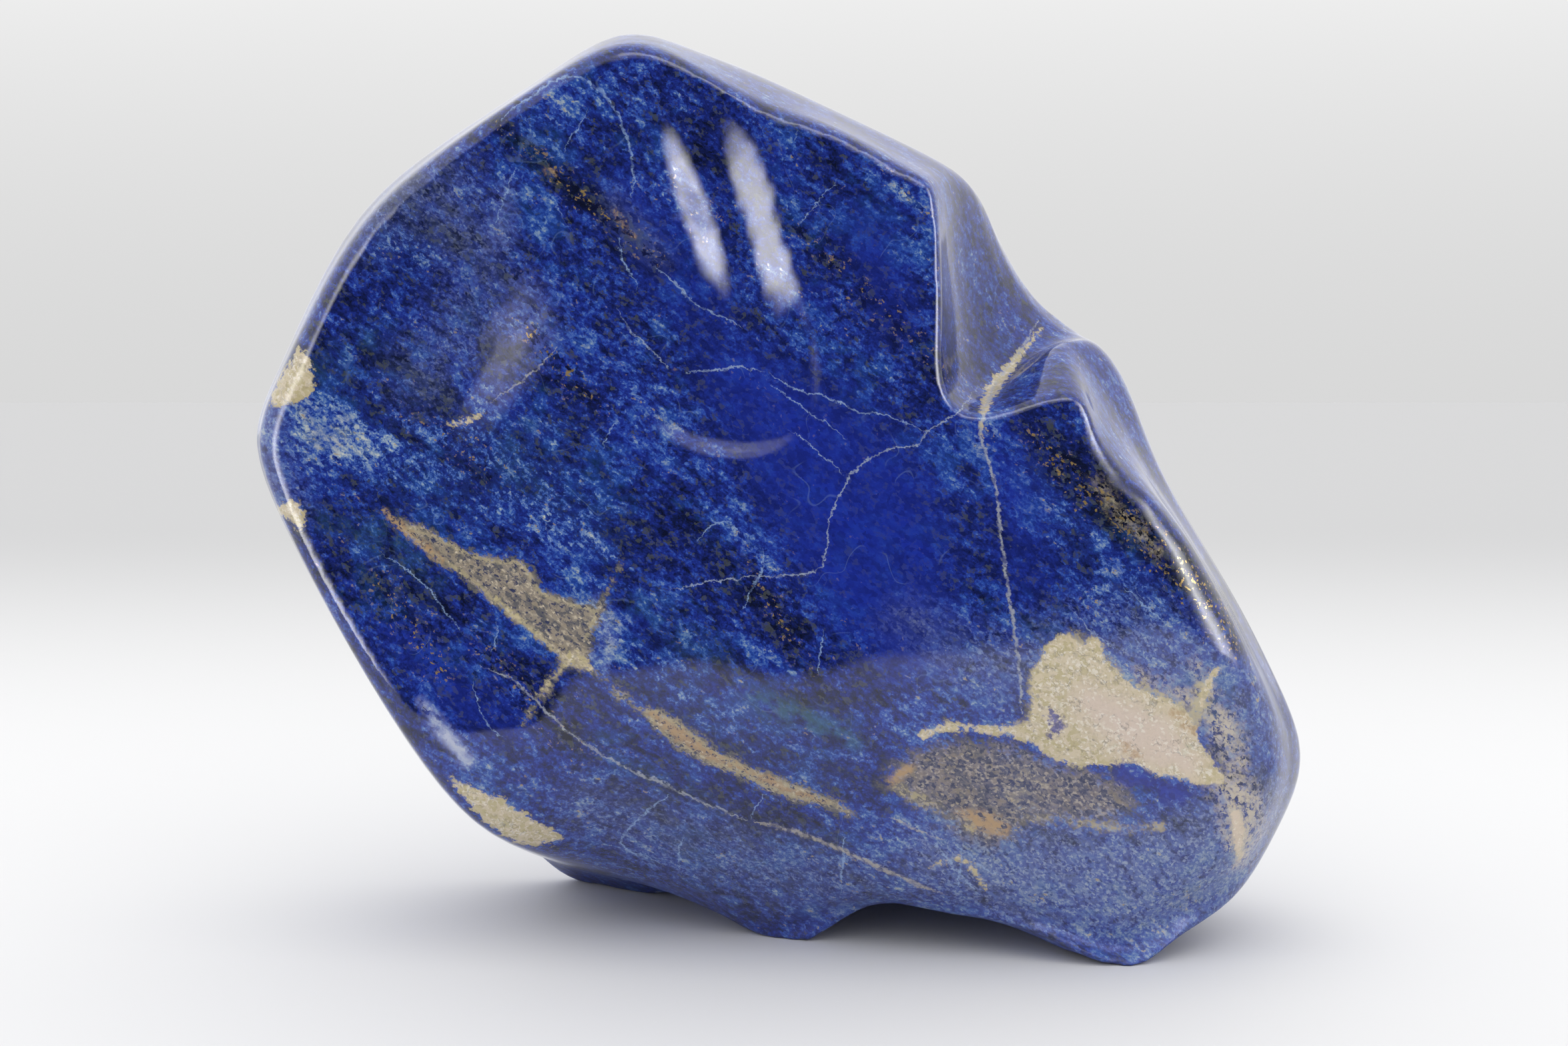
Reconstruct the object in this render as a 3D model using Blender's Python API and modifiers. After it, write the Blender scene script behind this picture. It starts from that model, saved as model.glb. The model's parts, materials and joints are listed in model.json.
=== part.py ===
# Polished freeform of lapis lazuli, a single solid stone that rests on small flats.
# Metres, +Z up, and the front of the stone faces -Y.
# The origin is on the table, under the middle of the stone. The numbers below are in millimetres.

import bpy
import bmesh
import math
from mathutils import Vector

MM = 0.001

# Front face: how far it stands out, its slope to the right and its lean back above the turn.
# The turn is the height below which the face curls under, and it climbs to the right.
FRONT_STAND_OUT = 54
FRONT_SLOPE = 0.07
FRONT_LEAN = 0.10
FRONT_CURL = 0.0018
TURN_HEIGHT = 72
TURN_CLIMB = 0.45
FRONT_LEFT = -60
FRONT_LEFT_CURL = 0.0018

# Back face: how far it stands out, its lean forward above, and its curl toward both sides
BACK_STAND_OUT = 60
BACK_LEAN = 0.12
BACK_LEAN_HEIGHT = 80
BACK_SIDE = 40
BACK_LEFT_CURL = 0.0016
BACK_RIGHT_CURL = 0.0022

# Middle of both faces, across and up, and how closely a face keeps to its ridge near it
FACE_CENTRE = (-5, 125)
RIDGE_HOLD = 3.0

# Fineness of the block that becomes the stone
SIDE_STATIONS = 9
STATIONS = 4 * SIDE_STATIONS
SKIN_LEVELS = 2
CAGE_ROUNDS = 5
CAGE_SHARE = 0.8
CREASE_SHARE = 0.5

# Front ridge, clockwise from the peak, where the front face turns over: x, y, z and how crisp it is
FRONT_RIDGE = [
    (-44, -32, 251, 0.8),
    (-26, -35, 245, 0.9),
    (-6, -38, 234, 0.9),
    (13, -41, 228, 0.9),
    (31, -44, 218, 1.0),
    (39, -46, 213, 1.2),
    (41, -48, 197, 1.2),
    (42, -49, 176, 1.2),
    (47, -50, 153, 1.3),
    (75, -50, 159, 1.3),
    (83, -50, 148, 1.2),
    (91, -51, 137, 1.0),
    (101, -52, 127, 0.8),
    (113, -52, 109, 0.5),
    (123, -51, 88, 0.2),
    (129, -48, 66, 0.1),
    (125, -48, 46, 0.1),
    (113, -47, 30, 0.1),
    (102, -44, 18, 0.2),
    (90, -44, 11, 0.3),
    (65, -43, 19, 0.3),
    (41, -42, 22, 0.3),
    (21, -36, 21, 0.3),
    (2, -24, 10, 0.4),
    (-18, -22, 14, 0.7),
    (-36, -18, 19, 0.7),
    (-58, -19, 25, 0.5),
    (-80, -35, 35, 0.4),
    (-96, -41, 56, 0.5),
    (-117, -35, 87, 0.5),
    (-136, -25, 120, 0.3),
    (-142, -23, 143, 0.2),
    (-134, -23, 163, 0.2),
    (-117, -25, 195, 0.4),
    (-95, -27, 218, 0.6),
    (-65, -30, 239, 0.7),
]

# Shoulder, between the front ridge and the widest line
SHOULDER = [
    (-45, -15, 255, 0.0),
    (-26, -17, 250, 0.0),
    (-6, -19, 241, 0.0),
    (15, -20, 232, 0.0),
    (37, -22, 221, 0.2),
    (48, -20, 213, 0.3),
    (49, -22, 196, 0.0),
    (53, -18, 178, 0.0),
    (62, -22, 161, 0.2),
    (75, -22, 171, 0.7),
    (87, -20, 161, 0.7),
    (95, -20, 147, 0.6),
    (105, -23, 129, 0.5),
    (120, -25, 105, 0.3),
    (134, -27, 78, 0.0),
    (142, -26, 56, 0.0),
    (136, -30, 36, 0.0),
    (122, -33, 18, 0.0),
    (106, -38, 9, 0.0),
    (91, -41, 3, 0.1),
    (66, -39, 12, 0.0),
    (42, -33, 13, 0.0),
    (22, -26, 12, 0.0),
    (1, -18, 1, 0.2),
    (-18, -11, 5, 0.1),
    (-40, 2, 10, 0.0),
    (-64, 4, 16, 0.0),
    (-83, -22, 32, 0.0),
    (-100, -30, 53, 0.0),
    (-121, -24, 85, 0.0),
    (-139, -17, 118, 0.0),
    (-148, -12, 142, 0.0),
    (-141, -10, 164, 0.0),
    (-123, -9, 198, 0.0),
    (-100, -11, 221, 0.0),
    (-69, -13, 242, 0.0),
]

# Widest line of the stone
OUTLINE = [
    (-46, 4, 255, 0.0),
    (-26, 6, 252, 0.0),
    (-7, 8, 245, 0.0),
    (17, 6, 233, 0.0),
    (41, 4, 221, 0.1),
    (55, 4, 210, 0.1),
    (63, 6, 197, 0.0),
    (72, 8, 183, 0.0),
    (82, 8, 175, 0.1),
    (91, 4, 167, 0.1),
    (98, 2, 156, 0.0),
    (104, 0, 141, 0.0),
    (113, 0, 122, 0.0),
    (130, 0, 94, 0.0),
    (141, -2, 72, 0.0),
    (148, -4, 50, 0.0),
    (140, -8, 30, 0.0),
    (127, -18, 13, 0.0),
    (106, -31, 4, 0.0),
    (91, -36, -3, 0.1),
    (66, -32, 7, 0.0),
    (43, -20, 8, 0.0),
    (22, -12, 6, 0.0),
    (1, -12, -5, 0.2),
    (-17, 4, 1, 0.1),
    (-43, 26, 3, 0.0),
    (-66, 33, 8, 0.0),
    (-85, -8, 31, 0.0),
    (-102, -16, 52, 0.0),
    (-122, -13, 84, 0.0),
    (-141, -6, 117, 0.0),
    (-150, 1, 142, 0.0),
    (-143, 6, 163, 0.0),
    (-125, 8, 198, 0.0),
    (-102, 8, 221, 0.0),
    (-71, 6, 241, 0.0),
]

# Back ridge, at the same stations
BACK_RIDGE = [
    (-40, 27, 246, 0.3),
    (-20, 34, 241, 0.4),
    (-4, 40, 232, 0.4),
    (14, 42, 218, 0.4),
    (32, 42, 204, 0.4),
    (45, 43, 192, 0.3),
    (54, 44, 180, 0.3),
    (62, 46, 168, 0.3),
    (70, 46, 158, 0.3),
    (78, 44, 149, 0.3),
    (84, 40, 138, 0.3),
    (92, 37, 124, 0.4),
    (101, 36, 106, 0.4),
    (113, 34, 84, 0.3),
    (121, 32, 64, 0.2),
    (125, 30, 45, 0.2),
    (118, 32, 26, 0.2),
    (104, 36, 11, 0.2),
    (86, 44, 1, 0.2),
    (66, 50, -3, 0.3),
    (44, 54, -3, 0.4),
    (22, 56, -3, 0.4),
    (2, 57, -3, 0.4),
    (-18, 57, -3, 0.4),
    (-38, 55, -3, 0.4),
    (-58, 51, -2, 0.3),
    (-76, 48, 10, 0.3),
    (-90, 44, 32, 0.4),
    (-102, 40, 55, 0.4),
    (-114, 38, 84, 0.3),
    (-128, 34, 112, 0.3),
    (-136, 30, 138, 0.2),
    (-128, 30, 160, 0.3),
    (-110, 29, 186, 0.4),
    (-89, 27, 209, 0.4),
    (-62, 26, 232, 0.3),
]

# Hollows and swells rubbed into the faces: middle x and z, half length, half width,
# lean of the long way from upright in degrees, and depth into the stone (a swell is below zero)
FRONT_HOLLOWS = [
    (-17, 208, 46, 18, -17, 5.5),
    (-17, 166, 40, 36, 0, 3.5),
    (-96, 177, 40, 38, 20, 4.5),
    (60, 95, 60, 45, -40, -2.0),
]
BACK_HOLLOWS = [
    (-55, 185, 62, 42, 30, 6.0),
    (30, 150, 58, 34, -35, 5.0),
    (70, 70, 50, 40, 20, 5.0),
    (-60, 80, 56, 40, -50, 6.0),
    (-5, 112, 84, 34, -52, -4.0),
]

# Hollows under the stone between its feet: middle x and y, half width, half depth and rise
UNDER_HOLLOWS = [
    (36, 6, 54, 40, 15),
    (92, 4, 34, 36, 10),
    (-22, 18, 30, 20, 5),
]


def front_depth(x, z):
    """Depth of the front face: nearly upright, leaning back above and curling under below."""
    turn = TURN_HEIGHT + TURN_CLIMB * x
    depth = -FRONT_STAND_OUT - FRONT_SLOPE * x
    depth += FRONT_LEAN * max(z - turn, 0)
    depth += FRONT_CURL * max(turn - z, 0) ** 2
    depth += FRONT_LEFT_CURL * max(FRONT_LEFT - x, 0) ** 2
    return depth


def back_depth(x, z):
    """Depth of the back face: a broad swell that leans forward above."""
    depth = BACK_STAND_OUT - BACK_LEAN * max(z - BACK_LEAN_HEIGHT, 0)
    depth -= BACK_LEFT_CURL * max(-BACK_SIDE - x, 0) ** 2
    depth -= BACK_RIGHT_CURL * max(x - BACK_SIDE, 0) ** 2
    return depth


def ring_place(gx, gz):
    """Station round the square ring through a corner of the block, and how far out that ring lies."""
    out = max(abs(gx), abs(gz))
    if out < 1e-6:
        return 0.0, 0.0
    u = gx / out
    v = gz / out
    edge = 1 - 1e-6
    if v > edge and u < edge:
        sides = u + 1
    elif u > edge and v > -edge:
        sides = 3 - v
    elif v < -edge and u > -edge:
        sides = 5 - u
    else:
        sides = 7 + v
    return sides / 8 * STATIONS, out


def along(line, station):
    """Point of a closed line at a station, which may fall between two of its points."""
    low = int(math.floor(station + 1e-6))
    a = Vector(line[low % STATIONS])
    b = Vector(line[(low + 1) % STATIONS])
    return a.lerp(b, max(station - low, 0.0))


def face_point(line, depth, station, out):
    """Point of the front or back face: the ridge drawn in toward the middle of the face."""
    ridge = along(line, station)
    x = FACE_CENTRE[0] + (ridge.x - FACE_CENTRE[0]) * out
    z = FACE_CENTRE[1] + (ridge.z - FACE_CENTRE[1]) * out
    hold = out ** RIDGE_HOLD
    y = ridge.y * hold + depth(x, z) * (1 - hold)
    return Vector((x, y, z))


def rubbed(across, up, hollow):
    """How deep a hollow is at a place on its face."""
    mid_across, mid_up, half_length, half_width, lean, depth = hollow
    angle = math.radians(lean)
    a = across - mid_across
    b = up - mid_up
    long_way = (b * math.cos(angle) + a * math.sin(angle)) / half_length
    short_way = (a * math.cos(angle) - b * math.sin(angle)) / half_width
    reach = max(1 - long_way ** 2 - short_way ** 2, 0)
    return depth * reach ** 2


# Start from an empty scene
for old in list(bpy.data.objects):
    bpy.data.objects.remove(old, do_unlink=True)

collection = bpy.data.collections.new("rough_lapis_lazuli")
bpy.context.scene.collection.children.link(collection)

# Block with 9 by 9 squares on its front and back, and bands round its side from line to line
LINES = (FRONT_RIDGE, SHOULDER, OUTLINE, BACK_RIDGE)
DEPTHS = (front_depth, None, None, back_depth)
LAST = len(LINES) - 1
block = bmesh.new()
bmesh.ops.create_grid(block, x_segments=SIDE_STATIONS, y_segments=SIDE_STATIONS, size=1.0)
layer = block.verts.layers.int.new("layer")
cap = list(block.faces)
for step in range(1, LAST + 1):
    made = bmesh.ops.extrude_face_region(block, geom=cap, use_keep_orig=True)["geom"]
    if step > 1:
        bmesh.ops.delete(block, geom=cap, context="FACES")
    cap = [item for item in made if isinstance(item, bmesh.types.BMFace)]
    for item in made:
        if isinstance(item, bmesh.types.BMVert):
            item[layer] = step
block.verts.index_update()

# Every corner of the block goes to its place on the stone
rim = {}
places = []
for vert in block.verts:
    station, out = ring_place(vert.co.x, vert.co.y)
    line = LINES[vert[layer]]
    if out > 1 - 1e-6:
        point = along(line, station)
        rim[vert] = point.w
        place = Vector(point[:3])
    else:
        place = face_point(line, DEPTHS[vert[layer]], station, out)
    places.append(place * MM)
for vert, place in zip(block.verts, places):
    vert.co = place

# The ridges are held crisper than the rest of the skin
crease = block.edges.layers.float.new("crease_edge")
for edge in block.edges:
    a, b = edge.verts
    if a in rim and b in rim and a[layer] == b[layer]:
        edge[crease] = CREASE_SHARE * (rim[a] + rim[b]) / 2
bmesh.ops.recalc_face_normals(block, faces=block.faces)
cage_mesh = bpy.data.meshes.new("cage")
block.to_mesh(cage_mesh)
block.free()

cage = bpy.data.objects.new("cage", cage_mesh)
collection.objects.link(cage)
skin = cage.modifiers.new("skin", "SUBSURF")
skin.levels = SKIN_LEVELS
skin.render_levels = SKIN_LEVELS

# The cage is drawn out until the smooth skin passes close to the stated lines
for turn in range(CAGE_ROUNDS):
    smooth = cage.evaluated_get(bpy.context.evaluated_depsgraph_get()).data
    moves = [place - smooth.vertices[i].co for i, place in enumerate(places)]
    for vert, move in zip(cage_mesh.vertices, moves):
        vert.co += move * CAGE_SHARE
    cage_mesh.update()

# The smooth skin becomes the stone
stone_mesh = bpy.data.meshes.new_from_object(cage.evaluated_get(bpy.context.evaluated_depsgraph_get()))
stone_mesh.name = "lapis_lazuli"
stone = bpy.data.objects.new("lapis_lazuli", stone_mesh)
collection.objects.link(stone)
bpy.data.objects.remove(cage, do_unlink=True)

# Rub in the hollows, then flatten the feet on the table
for vert in stone_mesh.vertices:
    x, y, z = vert.co / MM
    facing = vert.normal.copy()
    for hollow in FRONT_HOLLOWS:
        vert.co.y += rubbed(x, z, hollow) * MM * math.sqrt(max(-facing.y, 0))
    for hollow in BACK_HOLLOWS:
        vert.co.y -= rubbed(x, z, hollow) * MM * math.sqrt(max(facing.y, 0))
    for mid_x, mid_y, half_width, half_depth, rise in UNDER_HOLLOWS:
        lift = rubbed(x, y, (mid_x, mid_y, half_depth, half_width, 0, rise))
        vert.co.z += lift * MM * math.sqrt(max(-facing.z, 0))
for vert in stone_mesh.vertices:
    vert.co.z = max(vert.co.z, 0.0)
stone_mesh.update()
stone_mesh.shade_smooth()

# Polished stone
polish = bpy.data.materials.new("lapis_lazuli")
polish.use_nodes = True
surface = polish.node_tree.nodes["Principled BSDF"]
surface.inputs["Base Color"].default_value = (0.012, 0.045, 0.30, 1.0)
surface.inputs["Roughness"].default_value = 0.08
surface.inputs["Metallic"].default_value = 0.0
stone_mesh.materials.append(polish)
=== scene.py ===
import bpy
import json
import math
import numpy as np
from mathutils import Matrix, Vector

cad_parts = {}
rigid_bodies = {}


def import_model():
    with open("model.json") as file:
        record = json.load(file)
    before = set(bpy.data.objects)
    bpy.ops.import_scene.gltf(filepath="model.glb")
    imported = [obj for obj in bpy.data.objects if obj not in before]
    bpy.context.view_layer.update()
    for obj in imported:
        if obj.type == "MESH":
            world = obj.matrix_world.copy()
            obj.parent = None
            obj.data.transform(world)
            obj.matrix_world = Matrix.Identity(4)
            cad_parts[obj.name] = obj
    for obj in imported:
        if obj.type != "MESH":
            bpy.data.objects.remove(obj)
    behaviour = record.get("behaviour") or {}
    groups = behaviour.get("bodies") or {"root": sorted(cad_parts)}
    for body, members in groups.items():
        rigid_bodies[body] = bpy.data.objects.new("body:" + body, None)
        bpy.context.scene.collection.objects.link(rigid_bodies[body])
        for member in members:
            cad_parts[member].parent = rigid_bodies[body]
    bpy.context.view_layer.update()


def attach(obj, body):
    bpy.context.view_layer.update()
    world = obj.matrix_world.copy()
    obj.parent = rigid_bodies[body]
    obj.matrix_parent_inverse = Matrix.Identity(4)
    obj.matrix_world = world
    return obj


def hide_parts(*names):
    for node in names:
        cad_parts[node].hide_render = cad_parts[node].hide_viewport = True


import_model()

scene = bpy.context.scene
scene.view_settings.view_transform = "Standard"
perMm = 0.001                       # metres

# the camera comes first, because the patches and veins are drawn on the stone as it sees them

camera = {
    "lookAt": (0.0, 0.0, 0.1178),   # metres
    "distance": 0.752,
    "lookDown": 7.0,                # degrees
    "lens": 60.0,                   # mm
    "sensor": 36.0,                 # mm wide
    "nearest": 0.01,                # metres
    "frame": (2350, 1568),          # pixels
}
sight = math.radians(camera["lookDown"])
ahead = np.array((0.0, math.cos(sight), -math.sin(sight)))
upward = np.array((0.0, math.sin(sight), math.cos(sight)))
eye = np.array(camera["lookAt"]) - ahead * camera["distance"]


def addCamera(c):
    bpy.ops.object.camera_add(location=eye.tolist())
    cam = bpy.context.object
    cam.name = "frontCamera"
    cam.rotation_euler = Vector(ahead).to_track_quat("-Z", "Y").to_euler()
    cam.data.lens = c["lens"]
    cam.data.sensor_width = c["sensor"]
    cam.data.clip_start = c["nearest"]
    cam.data.dof.use_dof = False
    scene.camera = cam


def onPicture(points, c):           # where points land in the frame, in pixels
    wide, high = c["frame"]
    away = points - eye
    perMetre = c["lens"] / c["sensor"] * wide / (away @ ahead)
    return np.stack((wide / 2 + away[:, 0] * perMetre, high / 2 - (away @ upward) * perMetre), 1)


addCamera(camera)
print("camera set")

# the stone: the solid's own form, made fine and soft enough to take a polish

stone = {
    "node": "lapis_lazuli",
    "weld": 0.00001,                # metres
    "voxel": 0.00153,               # metres; finer passes 200,000 triangles
    "smoothTurns": 7,
    "lastTurns": 4,                 # once the front is rubbed
    "rubbed": [                     # lean in degrees, deep in mm, slopes as a share, the rest in pixels
        {"at": (1016, 328), "up": 310, "down": 310, "left": 250, "right": 74,
         "lean": -22, "deep": -3.9, "slopes": 1.0},     # a raised fold
        {"at": (1105, 592), "up": 260, "down": 98, "left": 170, "right": 140,
         "lean": 4, "deep": 0.85, "slopes": 0.3},       # a shallow hollow
    ],
    "rubFacing": (0.2, 0.6),        # rubbed only where the stone faces the camera
    "turnsBack": (-0.05, 0.30),     # where the front's drawing gives way to the back's
    "pixel": 0.186,                 # mm on the front for one pixel of the frame
    "backMiddle": 1166,             # the back is drawn flat, at about the same scale
    "backFloor": 1448,
    "backPerMetre": 5208,
}


def soften(piece, turns, share=0.5):
    soft = piece.modifiers.new("soft", "SMOOTH")
    soft.factor = share
    soft.iterations = turns
    bpy.ops.object.modifier_apply(modifier="soft")


def polishedCopy(s):
    bpy.ops.object.select_all(action="DESELECT")
    mesh = bpy.data.objects[s["node"]].data.copy()
    mesh.name = "lapisStone"
    mesh.materials.clear()
    piece = bpy.data.objects.new("lapisStone", mesh)
    scene.collection.objects.link(piece)
    piece.select_set(True)
    bpy.context.view_layer.objects.active = piece
    bpy.ops.object.mode_set(mode="EDIT")
    bpy.ops.mesh.select_all(action="SELECT")
    bpy.ops.mesh.remove_doubles(threshold=s["weld"])
    bpy.ops.object.mode_set(mode="OBJECT")
    mesh.remesh_voxel_size = s["voxel"]
    mesh.remesh_voxel_adaptivity = 0.0
    bpy.ops.object.voxel_remesh()
    soften(piece, s["smoothTurns"])
    bpy.ops.object.shade_smooth()
    return piece


def readPoints(piece):              # where the points are, and how far each faces the camera
    number = len(piece.data.vertices)
    places = np.empty(number * 3)
    piece.data.vertices.foreach_get("co", places)
    places = places.reshape(-1, 3)
    normals = np.empty(number * 3)
    piece.data.vertices.foreach_get("normal", normals)
    toEye = eye - places
    toEye /= np.linalg.norm(toEye, axis=1)[:, None]
    return places, (normals.reshape(-1, 3) * toEye).sum(1)


def fade(x, low, high):             # 0 below low and 1 above high, smooth between
    t = np.clip((x - low) / (high - low), 0, 1)
    return t * t * (3 - 2 * t)


def rubFront(piece, s):             # low forms that gather the light
    places, facing = readPoints(piece)
    at = onPicture(places, camera)
    deep = np.zeros(len(places))
    for r in s["rubbed"]:
        lean = math.radians(r["lean"])
        a, b = at[:, 0] - r["at"][0], r["at"][1] - at[:, 1]
        along = b * math.cos(lean) + a * math.sin(lean)
        along /= np.where(along > 0, r["up"], r["down"])
        across = a * math.cos(lean) - b * math.sin(lean)
        across /= np.where(across < 0, r["left"], r["right"])
        deep += r["deep"] * fade(1 - np.sqrt(along ** 2 + across ** 2), 0, r["slopes"])
    places += ahead * (deep * fade(facing, *s["rubFacing"]) * perMm)[:, None]
    piece.data.vertices.foreach_set("co", places.ravel())
    piece.data.update()


def onBackDrawing(points, s):
    across = s["backMiddle"] + points[:, 0] * s["backPerMetre"]
    down = s["backFloor"] - points[:, 2] * s["backPerMetre"]
    return np.stack((across, down), 1)


lapis = polishedCopy(stone)
rubFront(lapis, stone)
soften(lapis, stone["lastTurns"])
spots, facing = readPoints(lapis)
count = len(spots)
seen = onPicture(spots, camera)     # for drawing on the front
behind = onBackDrawing(spots, stone)
onFront = 1 - fade(-facing, *stone["turnsBack"])
onBack = 1 - onFront
print("stone: %d points" % count)

# drawing on the stone, in the frame's pixels: every figure is kept as a value on the stone's points


def smoothLine(points, step=24.0):  # a rounded line through given points, whatever each row holds
    p = np.array(points, float)
    if len(p) == 1:
        return np.vstack((p, p + 0.01))
    if len(p) == 2:
        return p
    p = np.vstack((2 * p[0] - p[1], p, 2 * p[-1] - p[-2]))
    out = []
    for i in range(1, len(p) - 2):
        n = max(2, int(np.linalg.norm(p[i + 1][:2] - p[i][:2]) / step))
        for t in np.arange(n) / n:
            out.append(0.5 * (2 * p[i] + (p[i + 1] - p[i - 1]) * t
                              + (2 * p[i - 1] - 5 * p[i] + 4 * p[i + 1] - p[i + 2]) * t ** 2
                              + (3 * p[i] - p[i - 1] - 3 * p[i + 1] + p[i + 2]) * t ** 3))
    out.append(p[-2])
    return np.array(out)


def near(places, line, reach):
    low, high = line[:, :2].min(0) - reach, line[:, :2].max(0) + reach
    return np.nonzero(((places > low) & (places < high)).all(1))[0]


def toLine(places, line):           # how each place lies to a line, with the line's row where it is nearest
    best = np.full(len(places), 1e9)
    side = np.ones(len(places))
    along = np.zeros(len(places))
    row = np.zeros((len(places), line.shape[1]))
    gone = 0.0
    for a, b in zip(line[:-1], line[1:]):
        d = b[:2] - a[:2]
        long = max(np.linalg.norm(d), 1e-6)
        t = np.clip(((places - a[:2]) @ d) / long ** 2, 0, 1)
        off = places - a[:2] - t[:, None] * d
        dist = np.sqrt(off[:, 0] ** 2 + off[:, 1] ** 2)
        closer = np.nonzero(dist < best)[0]
        best[closer] = dist[closer]
        side[closer] = np.where(d[0] * off[closer, 1] < d[1] * off[closer, 0], -1, 1)
        along[closer] = gone + t[closer] * long
        row[closer] = a + (b - a) * t[closer, None]
        gone += long
    return {"dist": best, "side": side, "along": along, "row": row, "length": gone}


def keep(name, values):
    layer = lapis.data.attributes.new(name, "FLOAT", "POINT")
    layer.data.foreach_set("value", values.astype(np.float32))


def paint(name, p, step=40.0):      # soft strokes over each other: (value, softness, [(u, v, radius), ...])
    total = np.zeros(count)
    for places, share, strokes in ((seen, onFront, p["front"]), (behind, onBack, p["back"])):
        value = np.zeros(count)
        for height, soft, stroke in strokes:
            line = smoothLine(stroke, step)
            at = near(places, line, soft + line[:, 2].max())
            found = toLine(places[at], line)
            edge = found["dist"] - found["row"][:, 2]
            value[at] += (height - value[at]) * (1 - fade(edge, -soft, soft))
        total += value * share
    keep(name, total)


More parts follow.
